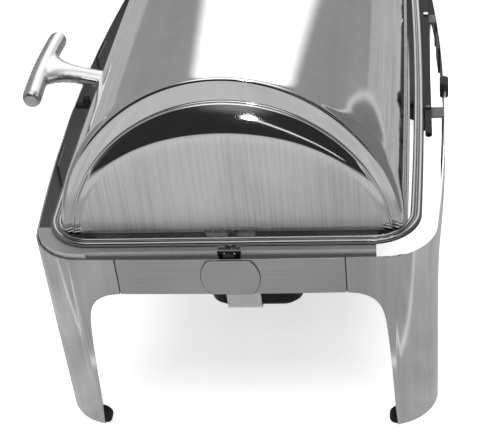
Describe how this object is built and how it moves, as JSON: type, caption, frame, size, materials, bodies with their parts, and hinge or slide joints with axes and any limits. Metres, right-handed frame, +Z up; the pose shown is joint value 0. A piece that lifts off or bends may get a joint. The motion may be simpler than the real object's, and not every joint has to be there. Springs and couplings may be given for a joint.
{
  "type": "roll top chafer",
  "caption": "Stainless roll top chafer with a rolling half-barrel lid, T handle, bowed leg frame, rim, water and food pans and fuel holders.",
  "frame": {"origin": "middle of the bounding box at floor level", "axes": "+X along the length to the right-hand end as seen from the handle side, -Y to the handle side, +Z up"},
  "size_m": [0.6882, 0.5272, 0.444],
  "materials": {
    "polished_steel": "polished stainless steel sheet",
    "brushed_steel": "brushed stainless steel",
    "lid_polished": "mirror polished stainless steel",
    "lid_brushed": "brushed stainless steel end panel with a polished border",
    "rim_steel": "polished rolled rim",
    "pan_steel": "satin stainless steel",
    "cast_handle": "cast and polished",
    "fastener_steel": "bright fasteners",
    "black_plastic": "moulded black",
    "black_enamel": "black enamel",
    "rubber": "black rubber"
  },
  "bodies": {
    "base": {"leg_front_right": "polished_steel", "splice_front_right": "brushed_steel", "foot_front_right": "black_plastic", "leg_front_left": "polished_steel", "splice_front_left": "brushed_steel", "foot_front_left": "black_plastic", "leg_rear_right": "polished_steel", "splice_rear_right": "brushed_steel", "foot_rear_right": "black_plastic", "leg_rear_left": "polished_steel", "splice_rear_left": "brushed_steel", "foot_rear_left": "black_plastic", "rail_end_right": "brushed_steel", "badge_right": "brushed_steel", "end_bracket_right": "brushed_steel", "pivot_bolt_right": "fastener_steel", "pivot_sleeve_right": "fastener_steel", "pivot_nut_right": "fastener_steel", "pan_hanger_right": "brushed_steel", "pan_hook_right": "brushed_steel", "fuel_strap_right": "brushed_steel", "fuel_bowl_right": "black_enamel", "fuel_pin_right": "fastener_steel", "rail_end_left": "brushed_steel", "badge_left": "brushed_steel", "end_bracket_left": "brushed_steel", "pivot_bolt_left": "fastener_steel", "pivot_sleeve_left": "fastener_steel", "pivot_nut_left": "fastener_steel", "pan_hanger_left": "brushed_steel", "pan_hook_left": "brushed_steel", "fuel_strap_left": "brushed_steel", "fuel_bowl_left": "black_enamel", "fuel_pin_left": "fastener_steel", "rail_front": "polished_steel", "rail_rear": "polished_steel", "rim_ring": "rim_steel", "water_pan": "pan_steel", "bumper_rear": "rubber", "bumper_front": "rubber", "rear_bar": "black_plastic", "rear_bar_screw_near": "fastener_steel", "rear_bracket_near": "brushed_steel", "rear_bar_screw_far": "fastener_steel", "rear_bracket_far": "brushed_steel"},
    "lid": {"lid_shell": "lid_polished", "lid_shoulder_right": "lid_polished", "lid_shoulder_left": "lid_polished", "lid_end_right": "lid_brushed", "lid_end_left": "lid_brushed", "lid_bracket_right": "brushed_steel", "lid_bracket_left": "brushed_steel", "handle": "cast_handle", "handle_base": "cast_handle", "handle_screw": "fastener_steel"},
    "food_pan": {"food_pan": "pan_steel"},
    "fuel_cover_right": {"fuel_cover_right": "polished_steel"},
    "fuel_cover_left": {"fuel_cover_left": "polished_steel"}
  },
  "joints": [
    {"name": "lid_roll", "type": "hinge", "parent": "base", "child": "lid", "pos_m": [0, 0.02251, 0.251], "axis": [-1, 0, 0], "range_deg": [0, 160]},
    {"name": "food_pan_lift", "type": "slide", "parent": "base", "child": "food_pan", "axis": [0, 0, 1], "range_m": [0, 0.075]},
    {"name": "fuel_cover_right_swing", "type": "hinge", "parent": "base", "child": "fuel_cover_right", "pos_m": [0.1865, 0.09341, 0.1325], "axis": [0, 0, -1], "range_deg": [0, 100]},
    {"name": "fuel_cover_left_swing", "type": "hinge", "parent": "base", "child": "fuel_cover_left", "pos_m": [-0.1865, -0.04839, 0.1325], "axis": [0, 0, -1], "range_deg": [0, 100]}
  ]
}
